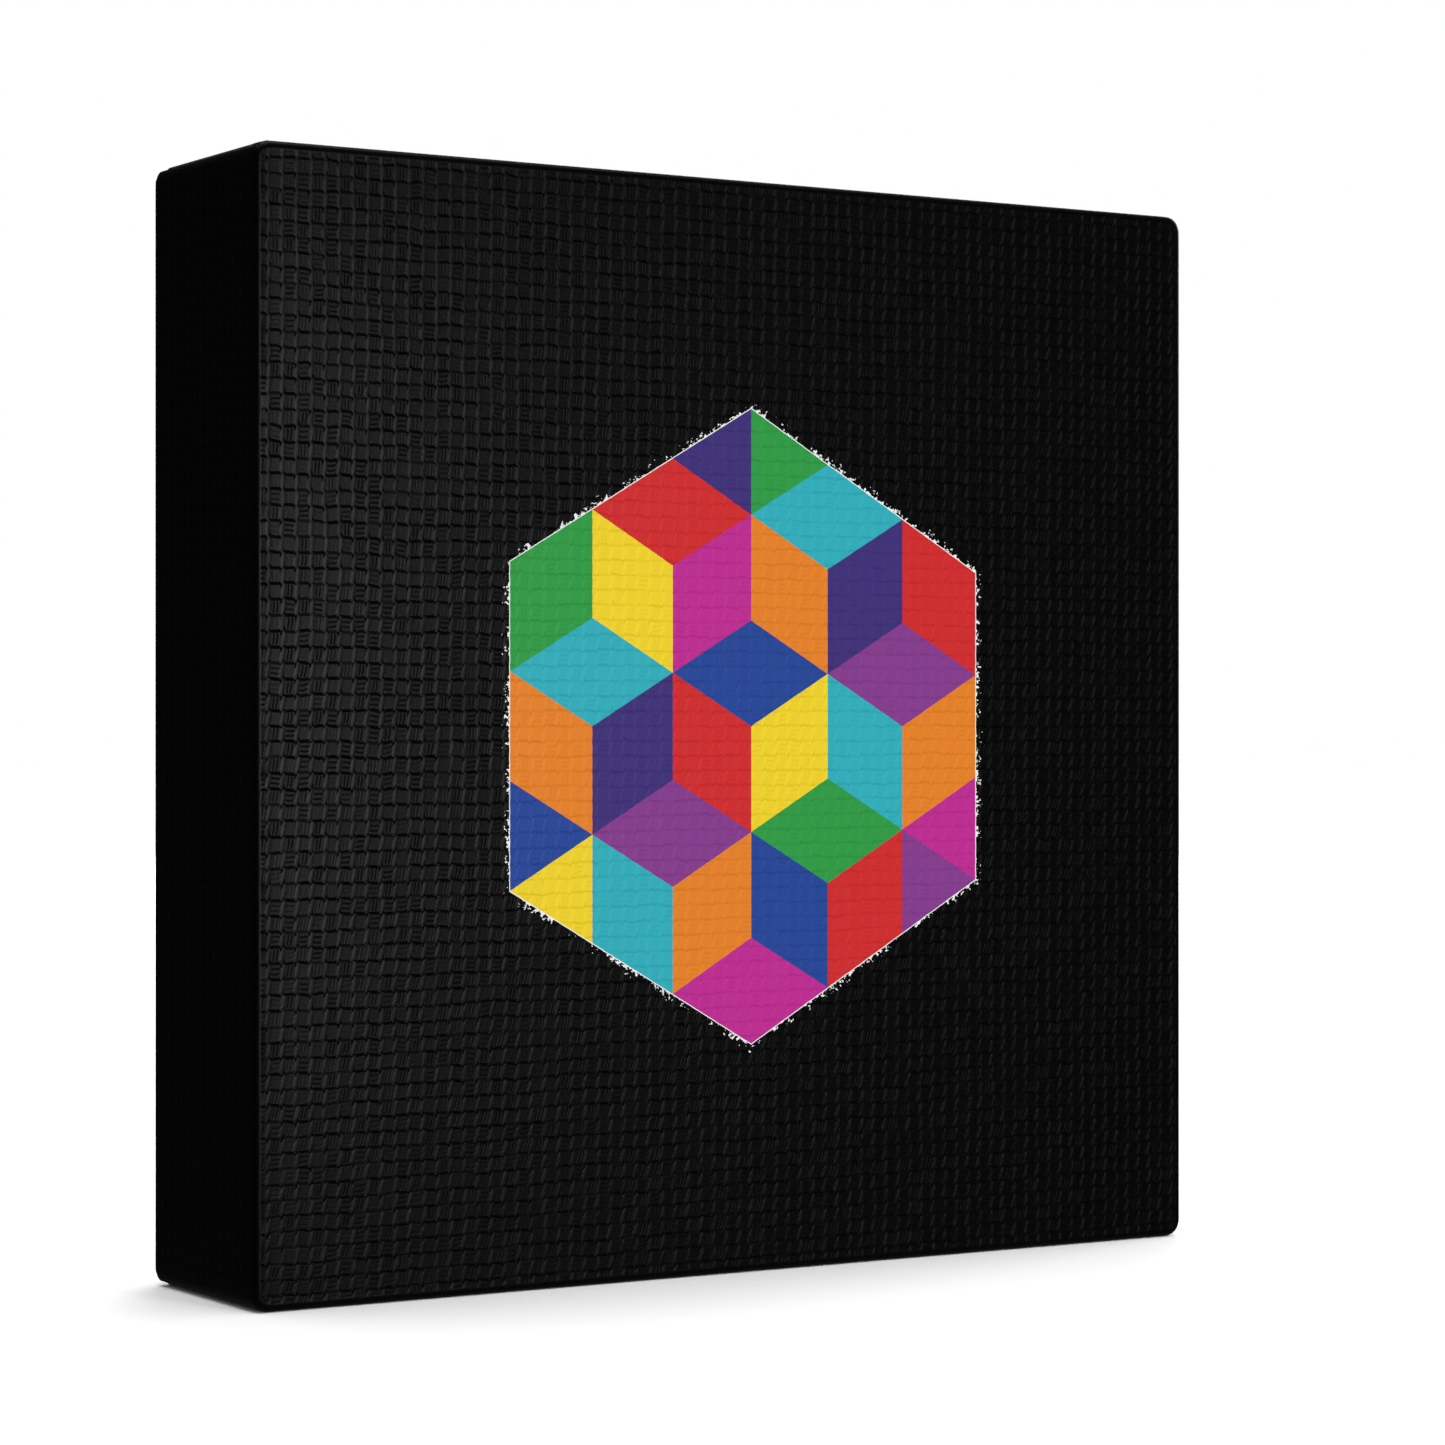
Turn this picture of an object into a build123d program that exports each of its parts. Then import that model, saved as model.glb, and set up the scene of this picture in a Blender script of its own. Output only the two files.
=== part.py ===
from build123d import *
import os

# Stretched canvas: cloth over four keyed stretcher bars, with staples, hanger and bumpers.
# Frame of reference: +Z up, the painted face looks along -Y, the origin is at the middle of
# the bottom of the overall box. Millimetres.

# Overall sizes
SIZE = 152.4            # height and width over the cloth
CLOTH_DEPTH = 31.75     # front of the cloth to the back of its hem
FOLD_PAD = 0.6          # how far the folded corners stand behind the hem
BUMPER_HEIGHT = 2.4
OVERALL_DEPTH = CLOTH_DEPTH + FOLD_PAD + BUMPER_HEIGHT

# Cloth
FRONT_CLOTH = 0.5       # thickness over the front
WALL_CLOTH = 0.6        # thickness over the sides, with the tucked layers
HEM_CLOTH = 0.6
HEM_WIDTH = 16.0
CORNER_ROUND = 2.4      # of the four edges that run front to back
FRONT_ROUND = 1.4       # of the edges round the front
BACK_ROUND = 0.5
FOLD_LENGTH = 24.0      # the folded pad, along the top and bottom hems

# Stretcher bars
BAR_LENGTH = SIZE - 2 * WALL_CLOTH
BAR_WIDTH = 20.0
BAR_DEPTH = CLOTH_DEPTH - FRONT_CLOTH - HEM_CLOTH
LIP_WIDTH = 3.0         # raised outer strip that the cloth rests on
LIP_RISE = 3.2          # the bevel falls this far behind the lip
BAR_EASE = 1.5          # rounding of the inner back edges
MITRE_GROOVE = 0.3      # width and depth of the eased joint line on the back

# Corner joints: two layers, each with one tongue in one slot
LAYER = 4.0
JOINT_CENTRE_BEHIND_LIP = 14.5
SLOT_SKIN = 1.5         # wood left outside a slot
TONGUE_FIT = 0.05       # clearance on each face of a tongue

# Corner keys
KEY_LENGTH = 24.0
KEY_TIP = 3.0
KEY_HEAD = 9.0
KEY_IN_SLOT = 14.0
KEY_FIT = 0.1           # clearance on each face of a key
KEY_CHAMFER = 0.3

# Staples
STAPLE_CROWN = 9.0
STAPLE_LEG = 8.0
STAPLE_WIRE = (1.0, 0.6)
STAPLE_EASE = 0.2
STAPLE_FROM_EDGE = 6.0
STAPLES_UPRIGHT = (-45.0, -15.0, 15.0, 45.0)
STAPLES_FLAT = (-60.0, -20.0, 20.0, 60.0)

# Hanger and its nails
HANGER_LENGTH = 44.0
HANGER_HEIGHT = 9.0
HANGER_PLATE = 0.8
HANGER_RISE = 1.2
HANGER_FOOT = 7.0       # flat end that is nailed down
HANGER_SLOPE = 2.0
HANGER_FROM_EDGE = 8.5
TOOTH_COUNT = 9
TOOTH_PITCH = 2.6
TOOTH_DEPTH = 1.8
NAIL_SHANK = 1.4
NAIL_LENGTH = 10.0
NAIL_HEAD = (3.2, 0.7)
NAIL_INSET = 3.5

# Bumpers
BUMPER_DIAMETER = 9.0
BUMPER_ROUND = 0.9
BUMPER_FROM_EDGE = 6.2

# Planes across the depth
Y_FRONT = -OVERALL_DEPTH / 2
Y_HEM = Y_FRONT + CLOTH_DEPTH
Y_LIP = Y_FRONT + FRONT_CLOTH
Y_BAR_BACK = Y_LIP + BAR_DEPTH
Y_JOINT = Y_LIP + JOINT_CENTRE_BEHIND_LIP
FRONT_LAYER = (Y_JOINT - LAYER, Y_JOINT)
BACK_LAYER = (Y_JOINT, Y_JOINT + LAYER)

HALF = SIZE / 2
BAR_END = BAR_LENGTH / 2
BAR_INNER = BAR_END - BAR_WIDTH
CENTRE = Pos(0, 0, HALF)
TINY = 1.0              # how far a cutting tool runs past what it cuts


def prism(points, y_low, y_high):
    """A prism from an outline of (x, z) points, between two depths."""
    outline = Polyline(*[(x, y_high, z) for x, z in points], close=True)
    return extrude(make_face(outline), amount=y_high - y_low, dir=(0, -1, 0))


def slab(half, y_low, y_high, corner=0):
    """A square slab about the centre line, with rounded corners."""
    block = Box(2 * half, y_high - y_low, 2 * half)
    block = Pos(0, (y_low + y_high) / 2, 0) * block
    return fillet(block.edges().filter_by(Axis.Y), corner) if corner else block


def front_edges(solid):
    """The edges round the face that looks along -Y."""
    return solid.faces().sort_by(Axis.Y)[0].edges()


def back_edges(solid):
    """The edges round the face that looks along +Y."""
    return solid.faces().sort_by(Axis.Y)[-1].edges()


def write(shape, name):
    """One node's file, moved up to stand on the floor."""
    placed = CENTRE * shape
    placed.label = name
    export_step(placed, f"parts/{name}.step")


# ---- Stretcher bars ----

def frame_blank():
    """The four bars as one ring: bevelled front, rounded outer edges and inner back edges."""
    outer = slab(BAR_END, Y_LIP, Y_BAR_BACK, CORNER_ROUND - WALL_CLOTH)
    outer = fillet(front_edges(outer), FRONT_ROUND - FRONT_CLOTH)
    hole = slab(BAR_INNER, Y_LIP - TINY, Y_BAR_BACK + TINY)
    lip = 2 * (BAR_END - LIP_WIDTH)
    inner = 2 * BAR_INNER
    wide = Pos(0, Y_LIP, 0) * Rot(90, 0, 0) * Rectangle(lip, lip)
    narrow = Pos(0, Y_LIP + LIP_RISE, 0) * Rot(90, 0, 0) * Rectangle(inner, inner)
    bevel = loft([wide.face(), narrow.face()])
    ring = outer - bevel - hole
    inner_back = [edge for edge in back_edges(ring)
                  if max(abs(edge.center().X), abs(edge.center().Z)) < BAR_INNER + TINY]
    return fillet(inner_back, BAR_EASE)


def key_room(depth_in):
    """How wide a slot is beside its tongue, at a distance in from the bar's outer face."""
    slope = (KEY_HEAD - KEY_TIP) / KEY_LENGTH
    tip_at = BAR_WIDTH - KEY_IN_SLOT
    return KEY_TIP + 2 * KEY_FIT + slope * max(0.0, depth_in - tip_at)


def bar_end_plans(side):
    """The tongue and slot outlines at one end of the bottom bar: side is -1 left, 1 right."""
    outer = -BAR_END
    inner = outer + BAR_WIDTH
    tongue = [(side * (BAR_END - SLOT_SKIN - TONGUE_FIT), outer + SLOT_SKIN + TONGUE_FIT),
              (side * (BAR_END - SLOT_SKIN - TONGUE_FIT), inner),
              (side * (BAR_END - BAR_WIDTH - TINY), inner),
              (side * (BAR_END - BAR_WIDTH - TINY), inner - TINY)]
    slot = [(side * (BAR_END + TINY), outer + SLOT_SKIN)]
    tip_at = BAR_WIDTH - KEY_IN_SLOT
    for depth_in in (SLOT_SKIN, tip_at, BAR_WIDTH + TINY):
        reach = BAR_END - BAR_WIDTH - key_room(depth_in)
        slot.append((side * reach, outer + depth_in))
    slot.append((side * (BAR_END + TINY), outer + BAR_WIDTH + TINY))
    return tongue, slot


def mitred(short, y_low, y_high):
    """The bottom bar's share of the ring, a little short of the mitre lines, between two depths."""
    return prism([(-BAR_END + short, -BAR_END), (BAR_END - short, -BAR_END),
                  (BAR_INNER - short, -BAR_INNER), (-BAR_INNER + short, -BAR_INNER)],
                 y_low, y_high)


def bottom_bar(blank):
    """The bottom bar: mitred, with a tongue in one layer and a slot in the other at each end."""
    groove_floor = Y_BAR_BACK - MITRE_GROOVE
    region = mitred(0, Y_LIP - TINY, groove_floor)
    region += mitred(MITRE_GROOVE / 2, groove_floor, Y_BAR_BACK + TINY)
    ends = ((-1, FRONT_LAYER, BACK_LAYER), (1, BACK_LAYER, FRONT_LAYER))
    for side, tongue_layer, slot_layer in ends:
        tongue, slot = bar_end_plans(side)
        region -= prism(slot, *slot_layer)
        region += prism(tongue, tongue_layer[0] + TONGUE_FIT, tongue_layer[1] - TONGUE_FIT)
    return blank & region


def bottom_key(side):
    """The key that lies along the bottom bar at one end, in that end's tongue layer."""
    base = -BAR_INNER + KEY_FIT
    tip = side * (BAR_INNER + KEY_IN_SLOT)
    head = side * (BAR_INNER + KEY_IN_SLOT - KEY_LENGTH)
    layer = FRONT_LAYER if side < 0 else BACK_LAYER
    wedge = prism([(tip, base), (head, base), (head, base + KEY_HEAD), (tip, base + KEY_TIP)],
                  layer[0] + KEY_FIT, layer[1] - KEY_FIT)
    return chamfer(wedge.edges(), KEY_CHAMFER)


# ---- Cloth ----

def canvas():
    """The cloth over the front and sides, with its hem and folded corners on the back."""
    outer = slab(HALF, Y_FRONT, Y_HEM, CORNER_ROUND)
    outer = fillet(front_edges(outer), FRONT_ROUND)
    outer = fillet(back_edges(outer), BACK_ROUND)
    inside = slab(BAR_END, Y_LIP, Y_BAR_BACK, CORNER_ROUND - WALL_CLOTH)
    inside = fillet(front_edges(inside), FRONT_ROUND - FRONT_CLOTH)
    opening = slab(HALF - HEM_WIDTH, Y_BAR_BACK - TINY, Y_HEM + TINY)
    cloth = outer - inside - opening
    edge = HALF - BACK_ROUND
    for x_side in (-1, 1):
        for z_side in (-1, 1):
            pad = prism([(x_side * edge, z_side * edge),
                         (x_side * edge, z_side * (HALF - HEM_WIDTH)),
                         (x_side * (HALF - FOLD_LENGTH), z_side * (HALF - HEM_WIDTH)),
                         (x_side * (HALF - FOLD_LENGTH), z_side * edge)],
                        Y_HEM - HEM_CLOTH / 2, Y_HEM + FOLD_PAD)
            cloth += fillet(pad.edges().filter_by(Axis.Y), CORNER_ROUND / 2)
    return cloth


# ---- Staples, hanger, nails and bumpers ----

def staple(x, y_back):
    """One staple on the bottom hem: its crown on the cloth and two legs in the bar."""
    width, thick = STAPLE_WIRE
    z = -HALF + STAPLE_FROM_EDGE
    crown = Pos(x, y_back + thick / 2, z) * Box(STAPLE_CROWN, thick, width)
    crown = fillet(back_edges(crown).filter_by(Axis.Z), thick * 0.9)
    crown = fillet(back_edges(crown).filter_by(Axis.X), STAPLE_EASE)
    for side in (-1, 1):
        middle = x + side * (STAPLE_CROWN - thick) / 2
        crown += Pos(middle, y_back - STAPLE_LEG / 2, z) * Box(thick, STAPLE_LEG, width)
    return crown


def staple_row(places):
    """The staples along one hem; those on the folded corners sit higher."""
    on_fold = HALF - FOLD_LENGTH
    return [staple(x, Y_HEM + (FOLD_PAD if abs(x) > on_fold else 0)) for x in places]


def hanger():
    """A sawtooth hanger: flat feet, a raised middle and teeth along the lower edge."""
    half = HANGER_LENGTH / 2
    raised = half - HANGER_FOOT
    top = HALF - HANGER_FROM_EDGE
    low = top - HANGER_HEIGHT
    side_view = [(-half, 0), (-raised, 0), (-raised + HANGER_SLOPE, HANGER_RISE),
                 (raised - HANGER_SLOPE, HANGER_RISE), (raised, 0), (half, 0)]
    lower = [(x, Y_HEM + y, low - TINY) for x, y in side_view]
    upper = [(x, Y_HEM + y + HANGER_PLATE, low - TINY) for x, y in reversed(side_view)]
    strip = extrude(make_face(Polyline(*lower, *upper, close=True)),
                    amount=HANGER_HEIGHT + 2 * TINY, dir=(0, 0, 1))
    teeth_half = TOOTH_COUNT * TOOTH_PITCH / 2
    outline = [(-half, top), (-half, low), (-teeth_half, low)]
    for index in range(TOOTH_COUNT):
        left = -teeth_half + index * TOOTH_PITCH
        outline += [(left + TOOTH_PITCH / 2, low + TOOTH_DEPTH), (left + TOOTH_PITCH, low)]
    outline += [(half, low), (half, top)]
    plate = strip & prism(outline, Y_HEM - TINY, Y_HEM + HANGER_RISE + HANGER_PLATE + TINY)
    corners = [edge for edge in plate.edges().filter_by(Axis.Y)
               if abs(abs(edge.center().X) - half) < 0.01]
    plate = fillet(corners, HANGER_HEIGHT / 4)
    for x, z in nail_places():
        plate -= Pos(x, Y_HEM, z) * Rot(90, 0, 0) * Cylinder(NAIL_SHANK / 2 + KEY_FIT, HANGER_HEIGHT)
    return plate


def nail_places():
    """Where the two nails go through the hanger's feet."""
    z = HALF - HANGER_FROM_EDGE - HANGER_HEIGHT / 2
    x = HANGER_LENGTH / 2 - NAIL_INSET
    return ((-x, z), (x, z))


def nail(x, z):
    """A round nail, its head on the hanger's foot."""
    head_radius, head_height = NAIL_HEAD[0] / 2, NAIL_HEAD[1]
    y_head = Y_HEM + HANGER_PLATE
    head = Pos(x, y_head + head_height / 2, z) * Rot(90, 0, 0) * Cylinder(head_radius, head_height)
    head = fillet(head.edges().sort_by(Axis.Y)[-1], head_height * 0.8)
    shank = Pos(x, y_head - NAIL_LENGTH / 2, z) * Rot(90, 0, 0) * Cylinder(NAIL_SHANK / 2, NAIL_LENGTH)
    return head + shank


def bumper(side):
    """A rubber bumper stuck on a folded bottom corner; its flat end meets the wall."""
    middle = HALF - BUMPER_FROM_EDGE
    disc = Rot(90, 0, 0) * Cylinder(BUMPER_DIAMETER / 2, BUMPER_HEIGHT)
    disc = Pos(side * middle, Y_HEM + FOLD_PAD + BUMPER_HEIGHT / 2, -middle) * disc
    return fillet(disc.edges().sort_by(Axis.Y)[-1], BUMPER_ROUND)


# ---- Every node ----

os.makedirs("parts", exist_ok=True)
bar_blank = bottom_bar(frame_blank())
# Each turn of a quarter about the centre line gives the next bar, with the two keys along it.
turns = (("bottom", 0, ("bottom_left_flat", "bottom_right_flat"), STAPLES_FLAT),
         ("left", 90, ("top_left_upright", "bottom_left_upright"), STAPLES_UPRIGHT),
         ("top", 180, ("top_right_flat", "top_left_flat"), STAPLES_FLAT),
         ("right", 270, ("bottom_right_upright", "top_right_upright"), STAPLES_UPRIGHT))
for bar_name, angle, key_names, staple_places in turns:
    turn = Rot(0, angle, 0)
    write(turn * bar_blank, f"{bar_name}_bar")
    for key_name, key_side in zip(key_names, (-1, 1)):
        write(turn * bottom_key(key_side), f"key_{key_name}")
    write(turn * Compound(children=staple_row(staple_places)), f"staples_{bar_name}")
write(canvas(), "canvas")
write(hanger(), "sawtooth_hanger")
write(Compound(children=[nail(x, z) for x, z in nail_places()]), "hanger_nails")
for bumper_name, bumper_side in (("left", -1), ("right", 1)):
    write(bumper(bumper_side), f"bumper_{bumper_name}")
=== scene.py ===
import math
import random

import bpy
import numpy as np
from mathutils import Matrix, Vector


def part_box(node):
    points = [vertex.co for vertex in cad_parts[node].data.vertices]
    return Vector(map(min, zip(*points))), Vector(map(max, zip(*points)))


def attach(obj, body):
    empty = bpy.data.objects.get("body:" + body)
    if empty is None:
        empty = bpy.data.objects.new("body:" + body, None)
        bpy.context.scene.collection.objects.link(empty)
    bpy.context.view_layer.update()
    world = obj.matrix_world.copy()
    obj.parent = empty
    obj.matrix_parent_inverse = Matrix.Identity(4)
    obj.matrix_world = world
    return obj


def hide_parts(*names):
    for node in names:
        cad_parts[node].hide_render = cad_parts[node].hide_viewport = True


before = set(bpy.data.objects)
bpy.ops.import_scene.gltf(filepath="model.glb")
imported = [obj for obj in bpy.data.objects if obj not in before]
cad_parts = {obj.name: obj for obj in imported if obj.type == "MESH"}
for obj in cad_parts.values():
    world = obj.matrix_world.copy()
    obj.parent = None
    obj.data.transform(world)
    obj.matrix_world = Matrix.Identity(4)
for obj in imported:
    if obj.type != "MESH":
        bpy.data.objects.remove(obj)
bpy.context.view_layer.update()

# ---- Sizes, in metres, from the frame ----

MM = 0.001
canvas_low, canvas_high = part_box("canvas")
hem_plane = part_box("staples_left")[1].y - 0.6 * MM      # the crowns lie on the hem
HALF = (canvas_high.x - canvas_low.x) / 2
CENTRE_Z = (canvas_low.z + canvas_high.z) / 2
Y_FRONT = canvas_low.y
DEPTH = hem_plane - Y_FRONT
PAD = canvas_high.y - hem_plane
HEM = 16 * MM
PAD_LENGTH = 24 * MM
CORNER_ROUND = 2.4 * MM
FRONT_ROUND = 1.0 * MM
BACK_ROUND = 0.5 * MM

# The cloth
CLOTH = 0.45 * MM
TUCKED = 0.06 * MM          # thickness left to a layer that is hidden in a fold
FLAP_INSET = 1.8 * MM       # how far the folded flap stops short of the corner
CELLS = 74                  # weave cells across the front
CELL = 2 * HALF / CELLS
RELIEF = 0.11 * MM
PLAIN_BAND = 0.8 * MM       # the weave is filled smooth this close to the front's edges
PRINTED_HEM = 12.3 * MM     # the print ends here, beyond the back edge

# The frayed yarn ends
THREADS_A_SIDE = 46
THREAD_RUNS = 4             # straight runs in each
TUBE_SIDES = 5

# The weave's shape, in cells and in parts of its height
JOG = 0.34                  # how far the rows wander up and down
LEAN_LEAST, LEAN_MOST = 0.04, 0.32     # how far a column's edge leans across one cell
PLAIN_HEIGHT = 0.72         # the flat of a yarn
RIDGE_RISE = 0.31           # the raised yarn along a column's edge
PIT_DEPTH = 0.62            # the gap where a row begins, between the columns' edges
GROOVE_DEPTH = 0.36         # the lines between the yarns of one cell
SHADOW_HOOK_DEPTH = 0.50           # the dips where shadow falls beside the raised yarns; the colours darken in them as painted shadow
FILLED_HEIGHT = 0.6         # where the ink and primer fill the weave smooth
SIDE_WEAVE = 0.55           # how much of the weave is left on the sides

# The printed patchwork
PRINT_RADIUS = 44.3 * MM
BLOCKS_OUT = 3.0            # blocks from its middle to its edge
BLOCK = PRINT_RADIUS / BLOCKS_OUT
FRINGE = 0.10               # the widest that the ragged fringe gets, in blocks
FRINGE_LINE = 0.010         # the unbroken line inside it, in blocks
PALETTE = [(39, 70, 149), (49, 170, 183), (204, 44, 46), (225, 127, 40), (235, 206, 42),
           (63, 49, 119), (186, 44, 143), (48, 152, 69), (131, 60, 139)]


def smooth(x):
    """Smoothstep of x, held between 0 and 1."""
    x = np.clip(x, 0, 1)
    return x * x * (3 - 2 * x)


# ---- Node building ----

class Net:
    """A material and short ways to add its nodes."""

    def __init__(self, name):
        self.material = bpy.data.materials.new(name)
        self.material.use_nodes = True
        self.tree = self.material.node_tree
        self.shader = self.tree.nodes["Principled BSDF"]

    def put(self, socket, value):
        if isinstance(value, bpy.types.NodeSocket):
            self.tree.links.new(value, socket)
        elif value is not None:
            socket.default_value = value

    def node(self, kind, inputs=(), **settings):
        made = self.tree.nodes.new("ShaderNode" + kind)
        for key, value in settings.items():
            setattr(made, key, value)
        for key, value in dict(inputs).items():
            self.put(made.inputs[key], value)
        return made

    def math(self, operation, a, b=None, c=None):
        made = self.node("Math", operation=operation)
        for index, value in enumerate((a, b, c)):
            self.put(made.inputs[index], value)
        return made.outputs[0]

    def add(self, a, b):
        return self.math("ADD", a, b)

    def sub(self, a, b):
        return self.math("SUBTRACT", a, b)

    def mul(self, a, b):
        return self.math("MULTIPLY", a, b)

    def above(self, a, b):
        return self.math("GREATER_THAN", a, b)

    def below(self, a, b):
        return self.math("LESS_THAN", a, b)

    def most(self, a, b):
        return self.math("MAXIMUM", a, b)

    def size(self, a):
        return self.math("ABSOLUTE", a)

    def floor(self, a):
        return self.math("FLOOR", a)

    def fract(self, a):
        return self.math("FRACT", a)

    def fit(self, value, low, high, to_low=0.0, to_high=1.0, kind="SMOOTHSTEP"):
        made = self.node("MapRange", {"Value": value, "From Min": low, "From Max": high,
                                      "To Min": to_low, "To Max": to_high}, interpolation_type=kind)
        return made.outputs["Result"]

    def mix(self, factor, a, b, blend="MIX"):
        made = self.node("Mix", data_type="RGBA", blend_type=blend)
        for index, value in ((0, factor), (6, a), (7, b)):
            self.put(made.inputs[index], value)
        return made.outputs[2]

    def blend(self, factor, a, b):
        made = self.node("Mix", data_type="FLOAT")
        for index, value in ((0, factor), (2, a), (3, b)):
            self.put(made.inputs[index], value)
        return made.outputs[0]

    def vector(self, x=0.0, y=0.0, z=0.0):
        made = self.node("CombineXYZ")
        for index, value in enumerate((x, y, z)):
            self.put(made.inputs[index], value)
        return made.outputs[0]

    def split(self, vector):
        made = self.node("SeparateXYZ", {"Vector": vector})
        return made.outputs[0], made.outputs[1], made.outputs[2]

    def stretch(self, vector, scale, shift=(0, 0, 0)):
        made = self.node("Mapping", {"Vector": vector, "Scale": scale, "Location": shift})
        return made.outputs[0]

    def noise(self, vector, scale, detail=2.0, rough=0.5, distortion=0.0):
        made = self.node("TexNoise", {"Vector": vector, "Scale": scale, "Detail": detail,
                                      "Roughness": rough, "Distortion": distortion})
        return made.outputs["Fac"]

    def white(self, vector):
        return self.node("TexWhiteNoise", {"Vector": vector}, noise_dimensions="3D").outputs["Value"]

    def grey(self, value):
        return self.node("CombineColor", {0: value, 1: value, 2: value}).outputs[0]

    def cells(self):
        """A point's place on the flat sheet, in weave cells from its middle."""
        return self.node("UVMap", uv_map="flat").outputs["UV"]

    def place(self):
        return self.node("TexCoord").outputs["Object"]

    def ramp(self, factor, stops, kind="LINEAR"):
        made = self.node("ValToRGB", {"Fac": factor})
        made.color_ramp.interpolation = kind
        while len(made.color_ramp.elements) < len(stops):
            made.color_ramp.elements.new(1.0)
        for element, (position, colour) in zip(made.color_ramp.elements, stops):
            element.position = position
            element.color = (*colour, 1)
        return made.outputs["Color"]

    def bump(self, height, distance, strength=1.0, normal=None):
        made = self.node("Bump", {"Height": height, "Distance": distance, "Strength": strength,
                                  "Normal": normal})
        return made.outputs["Normal"]

    def finish(self, **sockets):
        for key, value in sockets.items():
            self.put(self.shader.inputs[key.replace("_", " ")], value)
        return self.material


def linear(colour):
    """An sRGB colour of 0 to 255 as linear light."""
    return tuple(c / 255 / 12.92 if c <= 10.31 else ((c / 255 + 0.055) / 1.055) ** 2.4 for c in colour)


# ---- Weave and print ----

def stripe(net, value, centre):
    """1 along a thin line where value is at centre, and 0 away from it."""
    return net.fit(net.size(net.sub(value, centre)), 0.02, 0.08, 1.0, 0.0)


def weave_place(net, cells):
    """(x, y) in woven cells, which wander up and down and lean more towards the lower right."""
    column_at, row_at, _ = net.split(cells)
    jog = net.noise(net.stretch(cells, (0.8, 0.3, 1)), 1.0, 1.0)
    patchy = net.mul(net.noise(net.stretch(cells, (0.07, 0.07, 1)), 1.0, 1.0), 60.0)
    lean = net.fit(net.add(net.sub(column_at, row_at), patchy), -45.0, 60.0, LEAN_LEAST, LEAN_MOST)
    y = net.add(row_at, net.mul(net.sub(jog, 0.5), JOG))
    x = net.sub(column_at, net.mul(lean, net.sub(net.fract(y), 0.5)))
    return x, y


def cell_chance(net, column, row, seed):
    """A random number from 0 to 1 for each cell, another for each seed."""
    return net.white(net.vector(column, row, seed))


def grooves(net, side, length, offset, margin):
    """Two thin grooves, offset each side of the middle, that stop short of the cell's ends."""
    off_line = net.size(net.sub(net.sub(0.5, side), offset))
    return net.mul(net.fit(off_line, 0.02, 0.075, 1.0, 0.0), net.fit(length, margin, margin + 0.1))


def ridges(net, x, row, from_row):
    """The raised yarn along each column's edge, which slips sideways and varies from row to row."""
    edge = net.math("ROUND", x)
    slip = net.mul(net.sub(cell_chance(net, edge, row, 13.5), 0.5), 0.17)
    from_ridge = net.size(net.add(net.sub(x, edge), slip))
    ridge = net.mul(net.fit(from_ridge, 0.02, 0.21, 1.0, 0.0), net.fit(from_row, 0.0, 0.24, 0.2, 1.0))
    strength = net.fit(cell_chance(net, edge, row, 17.5), 0.0, 1.0, 0.55, 1.1, "LINEAR")
    return net.mul(ridge, strength)


def shadow_hooks(net, across, up, chance):
    """Thin dips where shadow falls beside the raised yarns, at a cell's upper right and lower left,
    faint or missing in some cells; the colours darken in them as painted shadow.
    """
    upper = net.mul(stripe(net, across, 0.84), net.fit(up, 0.60, 0.86))
    lower = net.mul(stripe(net, across, 0.15), net.fit(up, 0.14, 0.40, 1.0, 0.0))
    return net.mul(net.most(upper, lower), net.fit(chance, 0.1, 0.8))


def weave(net, cells):
    """The basket weave: (height of the cloth, a random number for each cell). The height is 0 in
    the deepest pit and a little over 1 on the highest yarn."""
    x, y = weave_place(net, cells)
    column, row = net.floor(x), net.floor(y)
    across, up = net.fract(x), net.fract(y)
    from_column = net.math("PINGPONG", across, 0.5)
    from_row = net.math("PINGPONG", up, 0.5)
    chance = cell_chance(net, column, row, 0.5)
    flip = net.above(cell_chance(net, column, row, 4.5), 0.86)
    upright = net.math("PINGPONG", net.add(net.add(column, row), flip), 1.0)
    inner = net.blend(upright, grooves(net, from_row, from_column, 0.16, 0.15),
                      grooves(net, from_column, from_row, 0.12, 0.10))
    inner = net.mul(inner, net.fit(chance, 0.15, 0.9, 0.1, 1.0))
    pit = net.mul(net.fit(from_row, 0.045, 0.12, 1.0, 0.0), net.fit(from_column, 0.07, 0.17))
    open_pit = net.fit(cell_chance(net, column, net.math("ROUND", y), 9.5), 0, 1, 0.45, 1.0)
    # the hooks are dips where shadow falls beside the raised yarns; through the height they darken the
    # colours as painted shadow
    shadow_hook = shadow_hooks(net, across, up, cell_chance(net, column, row, 21.5))
    height = net.add(PLAIN_HEIGHT, net.mul(ridges(net, x, row, from_row), RIDGE_RISE))
    height = net.sub(height, net.mul(net.mul(pit, open_pit), PIT_DEPTH))
    height = net.sub(net.sub(height, net.mul(inner, GROOVE_DEPTH)), net.mul(shadow_hook, SHADOW_HOOK_DEPTH))
    return net.most(height, 0.0), chance


def fringe_part(net, reach, x, z):
    """The ragged white line round the patchwork: an unbroken line, and specks outside it."""
    place = net.vector(x, z, 0.0)
    ragged = net.noise(place, 1900.0, 2.0, 0.6)
    sparse = net.fit(net.noise(place, 380.0, 2.0), 0.38, 0.56, 0.18, 0.0)
    end = BLOCKS_OUT + FRINGE
    least = net.add(net.fit(reach, BLOCKS_OUT, end, 0.48, 0.68, "LINEAR"), sparse)
    specks = net.mul(net.above(ragged, least), net.below(reach, end))
    return net.most(net.below(reach, BLOCKS_OUT + FRINGE_LINE), specks)


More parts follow.
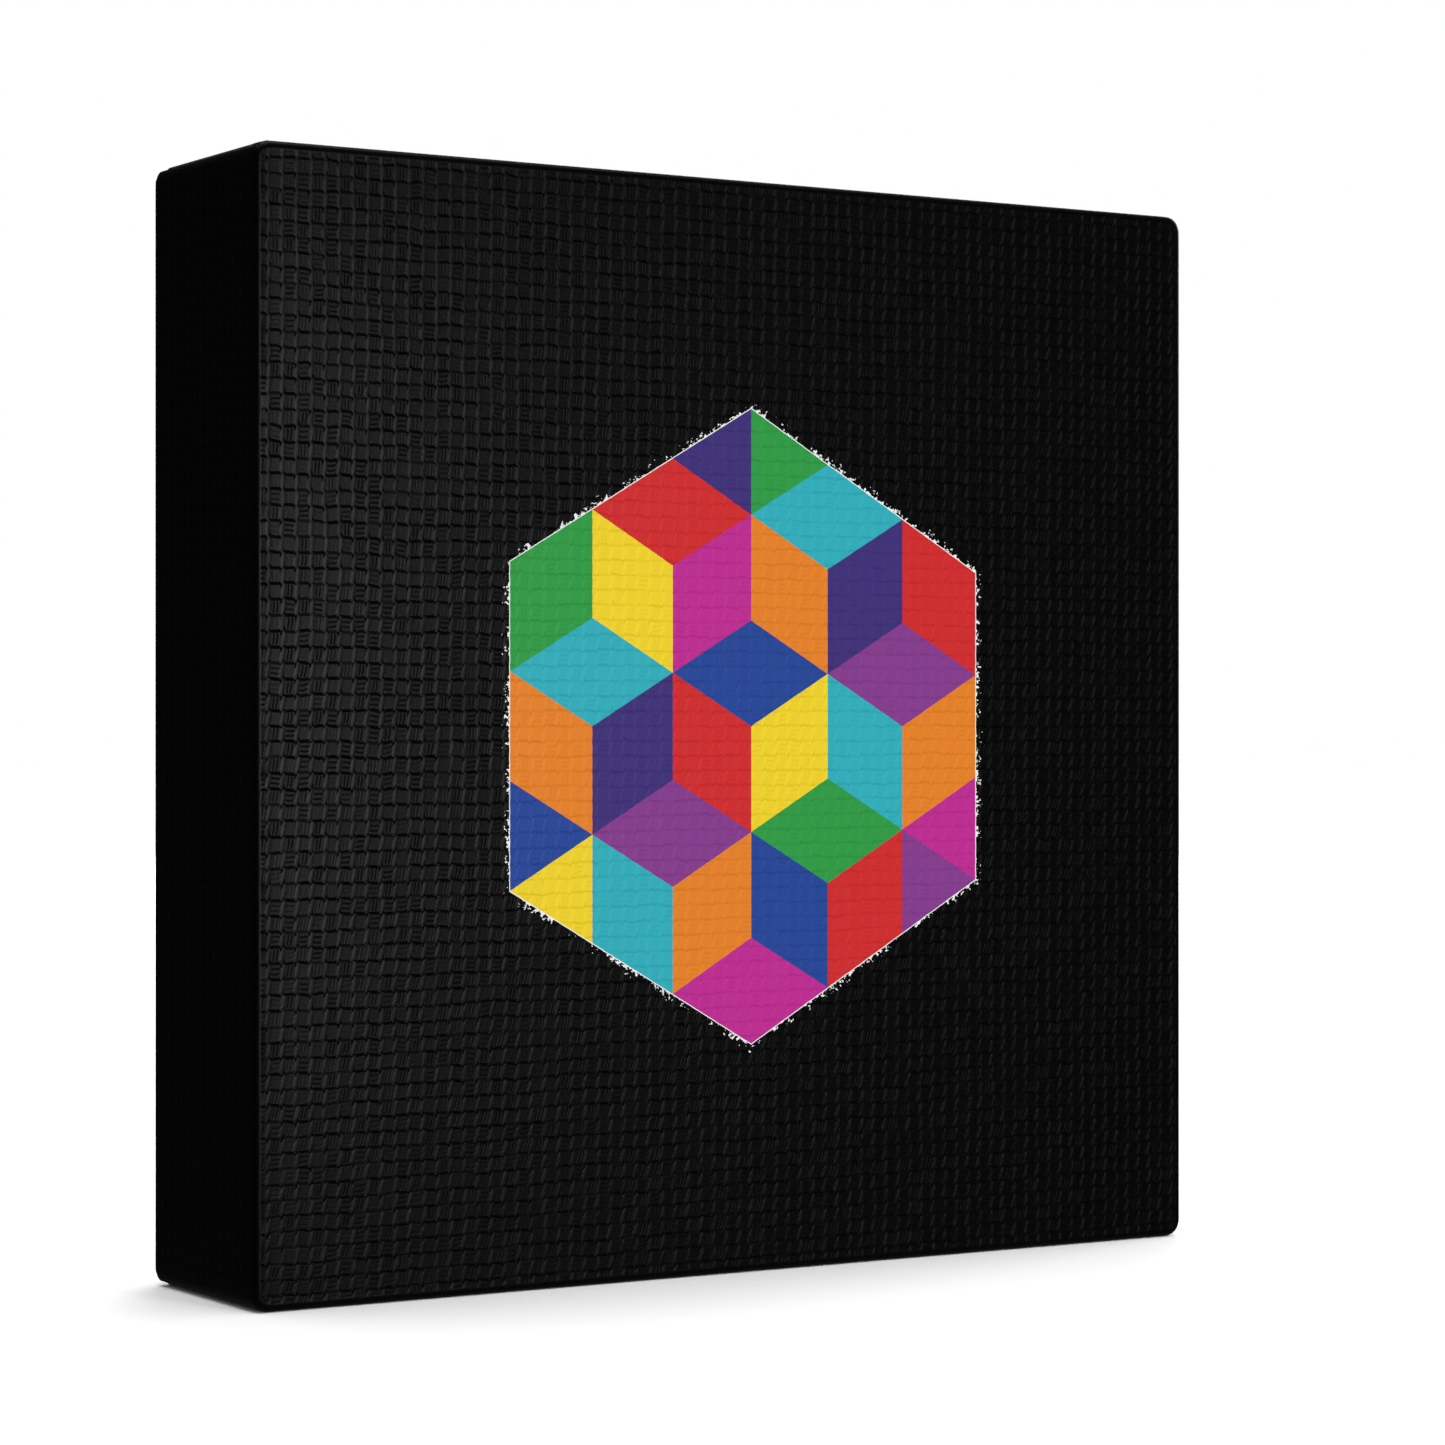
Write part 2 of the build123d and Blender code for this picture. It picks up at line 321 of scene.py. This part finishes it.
def print_parts(net, x, z):
    """The patchwork of blocks: (its colour, inside 0 or 1, white fringe 0 or 1), from metres."""
    slant = net.mul(x, 1 / math.sqrt(3))
    q = net.mul(net.add(z, slant), 1 / BLOCK)
    r = net.mul(net.sub(z, slant), 1 / BLOCK)
    q_low, r_low = net.floor(q), net.floor(r)
    steep = net.above(net.fract(q), net.fract(r))
    kind = net.math("FLOORED_MODULO", net.add(q_low, r_low), 3.0)
    is_far = net.math("COMPARE", kind, 1.0, 0.1)
    is_side = net.math("COMPARE", kind, 2.0, 0.1)
    q_mid = net.add(q_low, net.add(is_far, net.mul(is_side, steep)))
    r_mid = net.add(r_low, net.add(is_far, net.mul(is_side, net.sub(1.0, steep))))
    dq, dr = net.sub(q, q_mid), net.sub(r, r_mid)
    top = net.mul(net.above(dq, 0.0), net.above(dr, 0.0))
    face = net.mul(net.sub(1.0, top), net.add(1.0, net.above(dq, dr)))
    number = net.math("FLOORED_MODULO", net.add(r_mid, net.mul(face, 2.0)), float(len(PALETTE)))
    stops = [(index / len(PALETTE), linear(colour)) for index, colour in enumerate(PALETTE)]
    colour = net.ramp(net.mul(net.add(number, 0.5), 1 / len(PALETTE)), stops, "CONSTANT")
    reach = net.most(net.size(net.sub(q, r)), net.most(net.size(q), net.size(r)))
    inside = net.below(reach, BLOCKS_OUT)
    return colour, inside, net.mul(fringe_part(net, reach, x, z), net.sub(1.0, inside))


def printed_height(net, woven, reach):
    """The weave as the print leaves it: filled at the front's edges and fainter on the sides."""
    on_front = net.fit(reach, HALF - PLAIN_BAND - 0.4 * MM, HALF - PLAIN_BAND, 1.0, 0.0)
    on_side = net.fit(reach, HALF + 1 * MM, HALF + 3 * MM, 0.0, SIDE_WEAVE)
    shown = net.most(on_front, on_side)
    return net.add(FILLED_HEIGHT, net.mul(net.sub(woven, FILLED_HEIGHT), shown))


def printed_colour(net, height, reach, flat_place):
    """Black cloth, the patchwork on it, its fringe, and the unprinted strip on the hem. The weave's
    height darkens the cloth, the patchwork and the primer in its pits as painted shade, and lightens the
    cloth and the patchwork on the raised yarns as painted highlight.
    """
    object_x, _, object_z = net.split(net.place())
    colour, inside, fringe = print_parts(net, object_x, net.sub(object_z, CENTRE_Z))
    grain = net.noise(flat_place, 1500.0, 3.0)
    # Painted shade and highlight: the black cloth runs from near black in the weave's pits, grooves and
    # hooks to its lightest on the raised yarns, with a random grain over it.
    painted_shade_and_grain = net.mul(net.fit(height, 0.0, 1.0, 0.0, 1.0, "LINEAR"), net.fit(grain, 0.3, 0.7, 0.9, 1.1))
    dark = net.mix(net.math("POWER", painted_shade_and_grain, 5.0), (0.0001, 0.0001, 0.0001, 1),
                   (0.0084, 0.0084, 0.0085, 1))
    # Painted shade and highlight on the print: its colours are a little darker in the weave's pits and a
    # little lighter on the raised yarns.
    painted_weave_shade_on_print = net.fit(height, 0.0, 1.0, 0.86, 1.05, "LINEAR")
    colour = net.mix(1.0, colour, net.grey(painted_weave_shade_on_print), "MULTIPLY")
    base = net.mix(inside, dark, colour)
    base = net.mix(fringe, base, (0.86, 0.87, 0.85, 1))
    wander = net.mul(net.sub(net.noise(flat_place, 60.0, 2.0), 0.5), 1.2 * MM)
    unprinted = net.above(net.add(reach, wander), HALF + DEPTH + PRINTED_HEM)
    # Painted shade: the primer on the hem is darker in the weave's pits.
    primer_with_painted_shade = net.mix(height, (0.46, 0.45, 0.42, 1), (0.68, 0.67, 0.63, 1))
    return net.mix(unprinted, base, primer_with_painted_shade)


def printed_material():
    net = Net("printed_canvas")
    cells = net.cells()
    woven, _ = weave(net, cells)
    column, row, _ = net.split(cells)
    u, v = net.mul(column, CELL), net.mul(row, CELL)
    reach = net.most(net.size(u), net.size(v))
    flat_place = net.vector(u, v, 0.0)
    height = printed_height(net, woven, reach)
    base = printed_colour(net, height, reach, flat_place)
    rough = net.fit(height, 0.10, 0.70, 0.95, 0.32)
    rough = net.most(rough, net.fit(reach, HALF - 0.5 * MM, HALF + 1 * MM, 0.0, 0.62))
    fine = net.noise(flat_place, 2600.0, 2.0)
    weave_bump = net.bump(height, 0.055 * MM, 1.0)
    return net.finish(Base_Color=base, Roughness=rough, Specular_IOR_Level=0.065,
                      Normal=net.bump(fine, 0.015 * MM, 0.6, weave_bump))


def raw_material():
    net = Net("raw_canvas")
    cells = net.cells()
    height, chance = weave(net, cells)
    flecks = net.above(net.noise(net.stretch(cells, (1, 3, 1)), 1.6, 2.0), 0.76)
    # Painted shade: the raw cloth is darker in the weave's pits, grooves and hooks and keeps its cream
    # colour on the raised yarns.
    base = net.mix(height, (0.36, 0.31, 0.24, 1), (0.70, 0.65, 0.55, 1))
    base = net.mix(net.mul(chance, 0.35), base, (0.60, 0.53, 0.42, 1))
    base = net.mix(net.mul(flecks, 0.7), base, (0.20, 0.13, 0.07, 1))
    return net.finish(Base_Color=base, Roughness=0.92, Sheen_Weight=0.25,
                      Normal=net.bump(height, 0.20 * MM, 1.0), Specular_IOR_Level=0.2)


# ---- The cloth, as one folded sheet ----

def sheet_lines():
    """The sheet's grid lines, in metres from its middle: two to a weave cell on the front, and
    beyond it closest together where the cloth rolls or folds."""
    near = [0, .25, .6, 1, 1.8, 2.6, 3.6, 5, 7, 9, 11, 13.5, 16]
    far = [18.5, 21, 23.5, 26, 28, 29.5]
    depth = DEPTH / MM
    before = [depth - 1.4, depth - 0.5]
    beyond = near + far + before + [depth + step for step in near]
    rolled = [HALF / MM - step for step in (1.0, 0.6, 0.25)]
    inner = [step * CELL / MM / 2 for step in range(CELLS)]
    half = sorted(set(round(value, 5) for value in inner + rolled))
    right = half + [HALF / MM + step for step in beyond]
    lines = [-value for value in reversed(right[1:])] + right
    return np.array(lines) * MM


def box_place(u, v):
    """The folded sheet on a sharp-edged box: (x, z, depth, face, layer) of each grid point.

    face is 0 front, 1 left or right, 2 top or bottom, 3 back. layer is 0 for what shows, 1 for
    the flap's tucked half, 2 for the side cloth tucked under it, 3 and 4 for the hem's own tucks."""
    p, q = np.abs(u) - HALF, np.abs(v) - HALF
    side_u, side_v = np.sign(u), np.sign(v)
    x, z, depth = u.copy(), v.copy(), np.zeros_like(u)
    face, layer = np.zeros(u.shape, int), np.zeros(u.shape, int)

    def lay(mask, new_face, out_x, out_z, new_depth, new_layer=0):
        x[mask] = (side_u * out_x)[mask]
        z[mask] = (side_v * out_z)[mask]
        depth[mask] = np.broadcast_to(new_depth, u.shape)[mask]
        face[mask], layer[mask] = new_face, new_layer

    inset = FLAP_INSET * smooth(q / (5 * MM)) * smooth((p + 9 * MM) / (9 * MM))
    wide, tall = np.abs(u), np.abs(v)
    eps = 1e-9
    left_right, top_bottom = (p > eps) & (q <= eps), (q > eps) & (p <= eps)
    lay(left_right & (p <= DEPTH), 1, HALF, tall, p)
    lay(left_right & (p > DEPTH), 3, HALF - (p - DEPTH), tall, DEPTH)
    lay(top_bottom & (q <= DEPTH), 2, wide - inset, HALF, q)
    lay(top_bottom & (q > DEPTH), 3, wide - inset, HALF - (q - DEPTH), DEPTH)
    corner = (p > eps) & (q > eps)
    under = corner & (p > q - eps)
    lay(under & (p <= DEPTH), 2, HALF - q, HALF, p, 2)
    hem = under & (p > DEPTH)
    lay(hem & (q <= p - DEPTH + eps), 3, HALF - (p - DEPTH), HALF - q, DEPTH, 4)
    lay(hem & (q > p - DEPTH + eps), 3, HALF - q, HALF - (p - DEPTH), DEPTH, 3)
    middle = corner & ~under
    turned = FLAP_INSET * smooth(q / (5 * MM)) * (1 - p / np.maximum(q, eps))
    lay(middle & (q <= DEPTH), 2, HALF - p - turned, HALF, q, 1)
    lay(middle & (q > DEPTH), 3, HALF - p - turned, HALF - (q - DEPTH), DEPTH, 1)
    return x, z, depth, face, layer


def rounded(x, z, depth, face):
    """Rounds the sharp box: (x, z, depth, outward direction) of each point."""
    ax, az = np.abs(x), np.abs(z)
    cx, cz = ax - (HALF - CORNER_ROUND), az - (HALF - CORNER_ROUND)
    in_corner = (cx > 0) & (cz > 0)
    longest, length = np.maximum(cx, cz), np.maximum(np.hypot(cx, cz), 1e-12)
    out_x = np.where(in_corner, cx / length, (ax >= az).astype(float))
    out_z = np.where(in_corner, cz / length, (ax < az).astype(float))
    gap = np.where(in_corner, CORNER_ROUND - longest, HALF - np.maximum(ax, az))
    new_x = np.where(in_corner, HALF - CORNER_ROUND + longest * out_x, ax)
    new_z = np.where(in_corner, HALF - CORNER_ROUND + longest * out_z, az)
    side_way = np.where((face == 1) | (face == 2), 1.0, 0.0)
    deep_way = np.where(face == 0, -1.0, np.where(face == 3, 1.0, 0.0))
    new_depth = depth.copy()
    for radius, from_plane, way in ((FRONT_ROUND, depth, -1.0), (BACK_ROUND, DEPTH - depth, 1.0)):
        rolling = (gap < radius) & (from_plane < radius)
        du, dv = radius - gap, radius - from_plane
        norm = np.maximum(np.hypot(du, dv), 1e-12)
        side_way = np.where(rolling, du / norm, side_way)
        deep_way = np.where(rolling, way * dv / norm, deep_way)
        moved = radius - radius * du / norm
        new_x = np.where(rolling, new_x - out_x * (moved - gap), new_x)
        new_z = np.where(rolling, new_z - out_z * (moved - gap), new_z)
        rolled_depth = radius - radius * dv / norm
        new_depth = np.where(rolling, rolled_depth if way < 0 else DEPTH - rolled_depth, new_depth)
    sx, sz = np.where(x < 0, -1.0, 1.0), np.where(z < 0, -1.0, 1.0)
    normal = np.stack([sx * out_x * side_way, deep_way, sz * out_z * side_way], -1)
    place = np.stack([sx * new_x, Y_FRONT + new_depth, CENTRE_Z + sz * new_z], -1)
    return place, normal


def sheet_layers(u, v, x, z, face, layer):
    """(middle of the cloth above the outer surface, its thickness, which way the print faces)."""
    p, q = np.abs(u) - HALF, np.abs(v) - HALF
    back = face == 3
    rise = PAD * smooth((np.abs(x) - (HALF - PAD_LENGTH - MM)) / (3 * MM))
    rise = rise * smooth((HALF - np.abs(z)) / (2 * MM)) * back
    top, thick = np.zeros_like(u), np.full(u.shape, CLOTH)
    flap_back = back & (q > 0) & (p <= 1e-9)
    top = np.where(flap_back, rise, top)
    under_flap = np.where(back, rise, 0) - CLOTH
    for number, steps in ((1, 0), (2, 1), (3, 1)):
        tucked = layer == number
        top = np.where(tucked, under_flap - steps * TUCKED, top)
        thick = np.where(tucked, TUCKED, thick)
    uncovered = (1 - smooth((q - 1.8 * MM) / (0.6 * MM))) * (layer == 3)
    top = top + (TUCKED - top) * uncovered
    wrap = smooth(q / FLAP_INSET) * (layer == 2)
    top = np.where(layer == 2, top * wrap, top)
    thick = np.where(layer == 2, CLOTH + (TUCKED - CLOTH) * wrap, thick)
    sunk = 4 * TUCKED * (1 - smooth((p - DEPTH - 2.2 * MM) / MM))
    top = np.where(layer == 4, TUCKED * smooth(q / MM) - sunk, top)
    thick = np.where(layer == 4, TUCKED, thick)
    faces_out = np.where((layer == 1) | (layer == 4), -1.0, 1.0)
    return top - thick / 2, thick, faces_out


def relief(u, v):
    """How far the woven front dips below its highest yarns, in metres: least along the columns'
    edges and most where a row begins between them."""
    from_column = np.abs(np.sin(math.pi * u / CELL))
    from_row = np.abs(np.sin(math.pi * v / CELL))
    dip = from_column * (0.12 + 0.88 * (1 - from_row))
    dip = dip * np.random.default_rng(5).uniform(0.7, 1.15, u.shape)
    from_edge = HALF - np.maximum(np.abs(u), np.abs(v))
    return RELIEF * dip * smooth((from_edge - PLAIN_BAND) / (0.6 * MM))


def drift(u, v):
    """How far the weave wanders in the plane of the front, in metres: (along u, along v)."""
    rng = np.random.default_rng(11)
    shift = np.zeros((2, *u.shape))
    for _ in range(9):
        turn, phase = rng.uniform(0, 2 * math.pi, 2)
        length = rng.uniform(10, 34) * MM
        wave = np.sin(2 * math.pi * (u * math.cos(turn) + v * math.sin(turn)) / length + phase)
        shift += wave * np.array([0.05, 0.045]).reshape(2, 1, 1) * MM * rng.uniform(0.4, 1.0)
    from_edge = HALF - np.maximum(np.abs(u), np.abs(v))
    return shift * smooth((from_edge - 0.5 * MM) / (8 * MM))


def sheet_surfaces(u, v):
    """The printed and the raw surface of the folded cloth, as the places of their grid points."""
    x, z, depth, face, layer = box_place(u, v)
    place, normal = rounded(x, z, depth, face)
    middle, thick, faces_out = sheet_layers(u, v, x, z, face, layer)
    p, q = np.abs(u) - HALF, np.abs(v) - HALF
    near = 1e-7
    crease = (np.abs(p) < near) & (q > near)
    hidden = (p > near) & (q > near) & ((np.abs(p - q) < near) | (np.abs(p - DEPTH - q) < near))
    hidden |= (np.abs(q) < near) & (p > DEPTH + near)
    half = np.where(hidden | crease, 0.0, thick / 2)
    sink = relief(u, v) * (face == 0)
    along_u, along_v = drift(u, v)
    place[..., 0] += along_u
    place[..., 2] += along_v
    outer = place + normal * (middle + faces_out * half - sink)[..., None]
    inner = place + normal * (middle - faces_out * half - sink * 0.6)[..., None]
    fold = CLOTH * 0.45 * smooth(q / (3 * MM)) * crease
    centre = np.stack([np.sign(u), np.zeros_like(u), np.zeros_like(u)], -1) * fold[..., None]
    outer = outer + centre - normal * fold[..., None] * 0.4
    inner = inner - normal * fold[..., None] * 0.4
    return outer, inner


def sheet_quads(count):
    """Faces for two grids of count by count points: (the first's, the second's, the rim's)."""
    number = np.arange(count * count).reshape(count, count)
    a, b, c, d = (number[:-1, :-1].ravel(), number[1:, :-1].ravel(), number[1:, 1:].ravel(),
                  number[:-1, 1:].ravel())
    front = np.stack([a, b, c, d], -1)
    back = np.stack([d, c, b, a], -1) + count * count
    ring = np.concatenate([number[:-1, 0], number[-1, :-1], number[:0:-1, -1], number[0, :0:-1]])
    after = np.roll(ring, -1)
    rim = np.stack([after, ring, ring + count * count, after + count * count], -1)
    return front, back, rim


def canvas_sheet():
    """The whole cloth as one closed, thin mesh with its print, rolls, tucks and hem."""
    lines = sheet_lines()
    u, v = np.meshgrid(lines, lines, indexing="ij")
    outer, inner = sheet_surfaces(u, v)
    front, back, rim = sheet_quads(len(lines))
    quads = np.concatenate([front, back, rim])
    flat = np.stack([u, v], -1).reshape(-1, 2) / CELL
    points = np.concatenate([outer.reshape(-1, 3), inner.reshape(-1, 3)])
    mesh = bpy.data.meshes.new("canvas_cloth")
    mesh.from_pydata(points.tolist(), [], quads.tolist())
    layer_uv = mesh.uv_layers.new(name="flat")
    corners = np.empty(len(mesh.loops), np.int32)
    mesh.loops.foreach_get("vertex_index", corners)
    layer_uv.data.foreach_set("uv", np.concatenate([flat, flat])[corners].astype(np.float32).ravel())
    slots = np.concatenate([np.zeros(len(front)), np.ones(len(back) + len(rim))]).astype(np.int32)
    mesh.materials.append(printed_material())
    mesh.materials.append(raw_material())
    mesh.polygons.foreach_set("material_index", slots)
    mesh.polygons.foreach_set("use_smooth", np.ones(len(quads), bool))
    mesh.set_sharp_from_angle(angle=math.radians(60))
    mesh.update()
    piece = bpy.data.objects.new("canvas_cloth", mesh)
    bpy.context.scene.collection.objects.link(piece)
    return piece


def thread_material():
    net = Net("loose_thread")
    place = net.place()
    twist = net.noise(net.stretch(place, (5000, 5000, 5000)), 1.0, 2.0)
    base = net.mix(twist, (0.46, 0.42, 0.34, 1), (0.80, 0.77, 0.68, 1))
    return net.finish(Base_Color=base, Roughness=0.92, Specular_IOR_Level=0.2,
                      Normal=net.bump(twist, 0.03 * MM, 1.0))


def thread_path(rng, start, inward):
    """The points of a loose yarn end that leaves the hem's cut edge and lies on the bar."""
    turn = rng.gauss(0, 0.45)
    bend = rng.gauss(0, 0.5)
    length = rng.uniform(0.5, 1.3) * MM if rng.random() < 0.8 else rng.uniform(1.5, 3.0) * MM
    lift = rng.uniform(0.0, 0.35) * MM
    points = [Vector(start) - Vector(inward) * 0.5 * MM]
    across = Vector((inward[2], 0, -inward[0]))
    for step in range(1, THREAD_RUNS + 1):
        part = step / THREAD_RUNS
        way = Vector(inward) * math.cos(turn) + across * math.sin(turn)
        points.append(points[-1] + way * (0.5 * MM if step == 1 else length / (THREAD_RUNS - 1)))
        points[-1].y = start[1] + lift * math.sin(math.pi * part) * 0.8
        turn += bend / (THREAD_RUNS - 1)
    return points


def add_tube(points, faces, path, across, radius):
    """Adds a closed tube along the path to the points and faces."""
    first = len(points)
    for point in path:
        for corner in range(TUBE_SIDES):
            angle = 2 * math.pi * corner / TUBE_SIDES
            rim = across * math.cos(angle) + Vector((0, 1, 0)) * math.sin(angle)
            points.append(point + rim * radius)
    last = first + TUBE_SIDES * (len(path) - 1)
    for low in range(first, last, TUBE_SIDES):
        high = low + TUBE_SIDES
        for corner in range(TUBE_SIDES):
            after = (corner + 1) % TUBE_SIDES
            faces.append((low + corner, low + after, high + after, high + corner))
    faces.append(tuple(first + corner for corner in reversed(range(TUBE_SIDES))))
    faces.append(tuple(last + corner for corner in range(TUBE_SIDES)))


def hem_threads():
    """Frayed yarn ends along the cut edges of the hem."""
    rng = random.Random(23)
    edge = HALF - HEM
    wood_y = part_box("bottom_bar")[1].y
    points, faces = [], []
    for side in range(4):
        upright = side % 2
        sign = -1 if side < 2 else 1
        inward = (-sign, 0, 0) if upright else (0, 0, -sign)
        across = Vector((inward[2], 0, -inward[0]))
        reach = (edge if upright else HALF - 4 * MM) - 1 * MM
        for _ in range(THREADS_A_SIDE):
            slide = rng.uniform(-reach, reach)
            place = (sign * edge, slide) if upright else (slide, sign * edge)
            radius = rng.uniform(0.06, 0.10) * MM
            start = (place[0], wood_y + radius, CENTRE_Z + place[1])
            add_tube(points, faces, thread_path(rng, start, inward), across, radius)
    mesh = bpy.data.meshes.new("hem_threads")
    mesh.from_pydata(points, [], faces)
    mesh.materials.append(thread_material())
    mesh.polygons.foreach_set("use_smooth", [len(face.vertices) == 4 for face in mesh.polygons])
    mesh.update()
    piece = bpy.data.objects.new("hem_threads", mesh)
    bpy.context.scene.collection.objects.link(piece)
    return piece


# ---- Wood, metal and rubber ----

def wood_material(name, axis, seed, light, dark):
    """Softwood whose grain runs along axis 0 or 2, x or z."""
    net = Net(name)
    place = net.place()
    along = [900.0, 900.0, 900.0]
    along[axis] = 14.0
    broad = [170.0, 170.0, 170.0]
    broad[axis] = 6.0
    shift = (seed * 3.7, seed * 1.9, seed * 5.3)
    bands = net.noise(net.stretch(place, tuple(broad), shift), 1.0, 2.0, 0.4, 0.6)
    rings = net.math("PINGPONG", net.mul(bands, 9.0), 1.0)
    fibres = net.noise(net.stretch(place, tuple(along), shift), 1.0, 3.0, 0.6)
    patches = net.noise(net.stretch(place, (25, 25, 25), shift), 1.0, 2.0)
    tone = net.add(net.mul(net.math("POWER", rings, 2.0), 0.6), net.mul(fibres, 0.45))
    between = tuple(0.72 * a + 0.28 * b for a, b in zip(light, dark))
    base = net.ramp(tone, [(0.0, light), (0.45, between), (1.0, dark)])
    base = net.mix(net.mul(patches, 0.35), base, (*[0.93 * value for value in light], 1), "MULTIPLY")
    pores = net.fit(fibres, 0.30, 0.42, 0.62, 1.0)
    base = net.mix(1.0, base, net.grey(pores), "MULTIPLY")
    rough = net.fit(fibres, 0.2, 0.8, 0.72, 0.55, "LINEAR")
    return net.finish(Base_Color=base, Roughness=rough, Normal=net.bump(tone, 0.05 * MM, 0.8))


def metal_material(name, colour, roughness, brushed):
    """Plated steel with fine scratches along one way."""
    net = Net(name)
    place = net.place()
    lines = net.noise(net.stretch(place, brushed), 1.0, 3.0, 0.6)
    cloud = net.noise(place, 350.0, 3.0)
    base = net.mix(net.mul(cloud, 0.5), (*colour, 1), (*[value * 0.72 for value in colour], 1))
    rough = net.add(roughness, net.mul(net.sub(lines, 0.5), 0.25))
    return net.finish(Base_Color=base, Metallic=1.0, Roughness=rough,
                      Normal=net.bump(lines, 0.008 * MM, 0.7))


def rubber_material():
    net = Net("bumper_rubber")
    place = net.place()
    dust = net.fit(net.noise(place, 420.0, 4.0, 0.7), 0.5, 0.75)
    skin = net.noise(place, 5200.0, 2.0)
    base = net.mix(net.mul(dust, 0.5), (0.018, 0.018, 0.019, 1), (0.075, 0.073, 0.070, 1))
    return net.finish(Base_Color=base, Roughness=net.fit(dust, 0, 1, 0.52, 0.8),
                      Normal=net.bump(skin, 0.015 * MM, 0.8))


def wear(node, material):
    """Gives a carried-over CAD node its finish."""
    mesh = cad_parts[node].data
    mesh.materials.clear()
    mesh.materials.append(material)


def dress_cad_nodes():
    pine_light, pine_dark = (0.74, 0.56, 0.34), (0.50, 0.30, 0.14)
    key_light, key_dark = (0.66, 0.49, 0.30), (0.46, 0.29, 0.15)
    bars = (("bottom_bar", 0), ("left_bar", 2), ("top_bar", 0), ("right_bar", 2))
    for seed, (bar, axis) in enumerate(bars):
        wear(bar, wood_material("pine_" + bar, axis, seed, pine_light, pine_dark))
    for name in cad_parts:
        if name.startswith("key_"):
            axis = 0 if name.endswith("flat") else 2
            wear(name, wood_material("wood_" + name, axis, len(name) + 7 * axis, key_light, key_dark))
        elif name.startswith("staples_"):
            wear(name, metal_material("wire_" + name, (0.66, 0.66, 0.67), 0.34, (3000, 3000, 3000)))
        elif name.startswith("bumper_"):
            wear(name, rubber_material())
    wear("sawtooth_hanger", metal_material("plated_hanger", (0.72, 0.70, 0.64), 0.30, (120, 4000, 4000)))
    wear("hanger_nails", metal_material("bright_nails", (0.62, 0.62, 0.62), 0.28, (2500, 2500, 2500)))


# ---- Stage, light and camera ----

def floor():
    """A pale floor that takes the shadow, and neither lights the object nor shows in its gloss."""
    bpy.ops.mesh.primitive_plane_add(size=12, location=(0, 0, 0))
    plane = bpy.context.object
    plane.name = "floor"
    net = Net("pale_floor")
    plane.data.materials.append(net.finish(Base_Color=(0.96, 0.96, 0.96, 1), Roughness=0.9,
                                           Specular_IOR_Level=0.0))
    plane.visible_glossy = False
    plane.visible_diffuse = False


def area_light(name, place, target, size, power):
    data = bpy.data.lights.new(name, "AREA")
    data.shape = "RECTANGLE"
    data.size, data.size_y = size
    data.energy = power
    lamp = bpy.data.objects.new(name, data)
    lamp.location = place
    lamp.rotation_euler = (Vector(target) - Vector(place)).to_track_quat("-Z", "Y").to_euler()
    bpy.context.scene.collection.objects.link(lamp)


def lights():
    middle = (0, Y_FRONT, CENTRE_Z)
    area_light("front_softbox", (0.09, Y_FRONT - 0.60, 0.10), middle, (0.11, 0.20), 2.1)
    area_light("back_softbox", (0.9, 1.3, 0.7), (0, 0, CENTRE_Z), (0.9, 0.9), 16)
    area_light("side_softbox", (1.1, 0.15, 0.45), (0, 0, CENTRE_Z), (0.5, 0.5), 5)
    sun = bpy.data.lights.new("overhead", "SUN")
    sun.energy = 2.35
    sun.angle = math.radians(62)
    overhead = bpy.data.objects.new("overhead", sun)
    bpy.context.scene.collection.objects.link(overhead)


def background(tree, strength):
    """A white background node of the given strength."""
    made = tree.nodes.new("ShaderNodeBackground")
    made.inputs["Color"].default_value = (1, 1, 1, 1)
    made.inputs["Strength"].default_value = strength
    return made


def mixed(tree, factor, first, second):
    """The first shader, or the second where factor is 1."""
    made = tree.nodes.new("ShaderNodeMixShader")
    for index, socket in enumerate((factor, first, second)):
        tree.links.new(socket, made.inputs[index])
    return made.outputs[0]


def surroundings():
    """A white background, an even fill, and a dimmer room in what reflects it."""
    world = bpy.data.worlds.new("studio")
    bpy.context.scene.world = world
    world.use_nodes = True
    tree = world.node_tree
    path = tree.nodes.new("ShaderNodeLightPath")
    place = tree.nodes.new("ShaderNodeTexCoord")
    split = tree.nodes.new("ShaderNodeSeparateXYZ")
    tree.links.new(place.outputs["Generated"], split.inputs[0])
    below = tree.nodes.new("ShaderNodeMapRange")
    below.interpolation_type = "SMOOTHSTEP"
    for key, value in (("From Min", -0.12), ("From Max", -0.50), ("To Min", 0.012), ("To Max", 0.20)):
        below.inputs[key].default_value = value
    tree.links.new(split.outputs[2], below.inputs["Value"])
    shown, fill, mirrored = background(tree, 1.0), background(tree, 0.38), background(tree, 0.0)
    tree.links.new(below.outputs["Result"], mirrored.inputs["Strength"])
    soft = mixed(tree, path.outputs["Is Glossy Ray"], fill.outputs[0], mirrored.outputs[0])
    surface = mixed(tree, path.outputs["Is Camera Ray"], soft, shown.outputs[0])
    tree.links.new(surface, tree.nodes["World Output"].inputs["Surface"])


def camera():
    """The photograph's viewpoint, fitted to the edges of the canvas."""
    data = bpy.data.cameras.new("camera")
    data.lens = 99.6
    data.sensor_width = 36
    data.shift_y = 0.0026
    data.clip_start, data.clip_end = 0.01, 50
    eye = bpy.data.objects.new("camera", data)
    eye.location = (-0.2983, Y_FRONT - 0.4716, CENTRE_Z)
    heading = Vector((0.5285, 0.8490, 0))
    eye.rotation_euler = heading.to_track_quat("-Z", "Y").to_euler()
    bpy.context.scene.collection.objects.link(eye)
    bpy.context.scene.camera = eye
    bpy.context.scene.view_settings.view_transform = "Standard"


camera()
lights()
surroundings()
floor()
dress_cad_nodes()
cloth = canvas_sheet()
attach(cloth, "frame")
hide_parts("canvas")
threads = hem_threads()
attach(threads, "frame")
